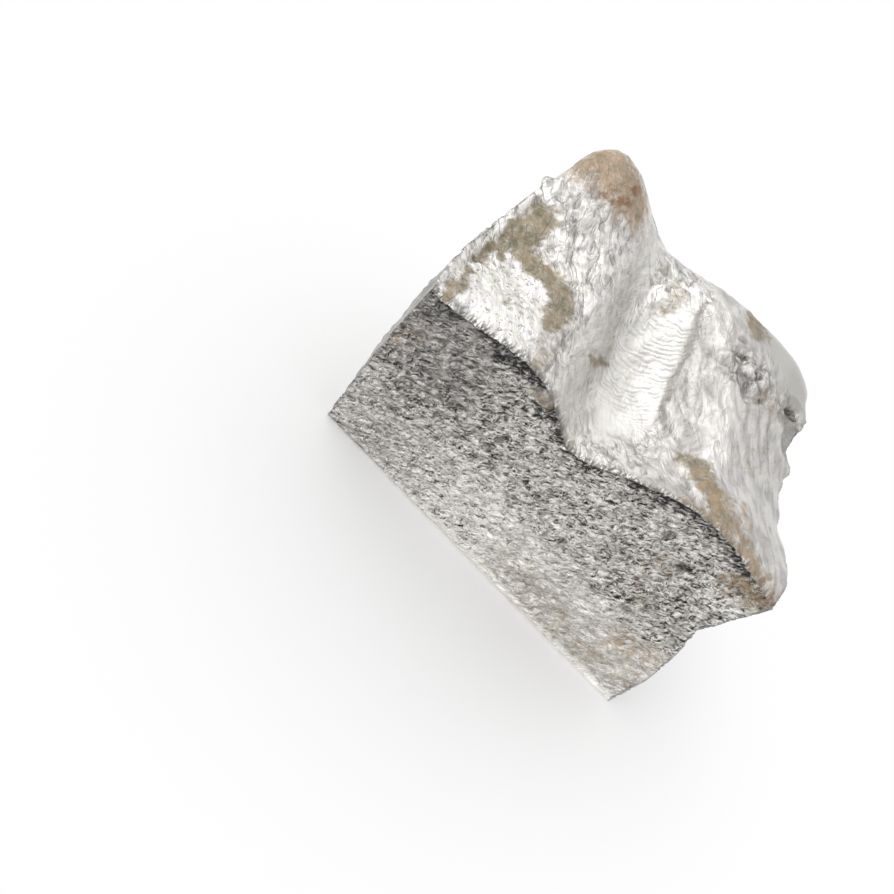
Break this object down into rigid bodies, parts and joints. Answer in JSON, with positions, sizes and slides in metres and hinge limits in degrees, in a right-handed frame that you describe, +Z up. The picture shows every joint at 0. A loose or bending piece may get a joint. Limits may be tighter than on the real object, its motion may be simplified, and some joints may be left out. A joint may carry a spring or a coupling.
{
  "type": "tin ingot",
  "caption": "Solid lump of cast tin with a sheared rough front face, a flat base and a folded, bright open-cast top.",
  "frame": {"origin": "middle of the bounding box, on the flat base", "axes": "+X along the sheared face, to its overhanging lip; +Y from the sheared face to the back; +Z up from the base"},
  "size_m": [0.0662, 0.046, 0.0424],
  "materials": {
    "tin": "cast tin, bright and wrinkled on the skin, dull and granular where sheared"
  },
  "bodies": {
    "root": {"ingot_lump": "tin"}
  },
  "joints": []
}
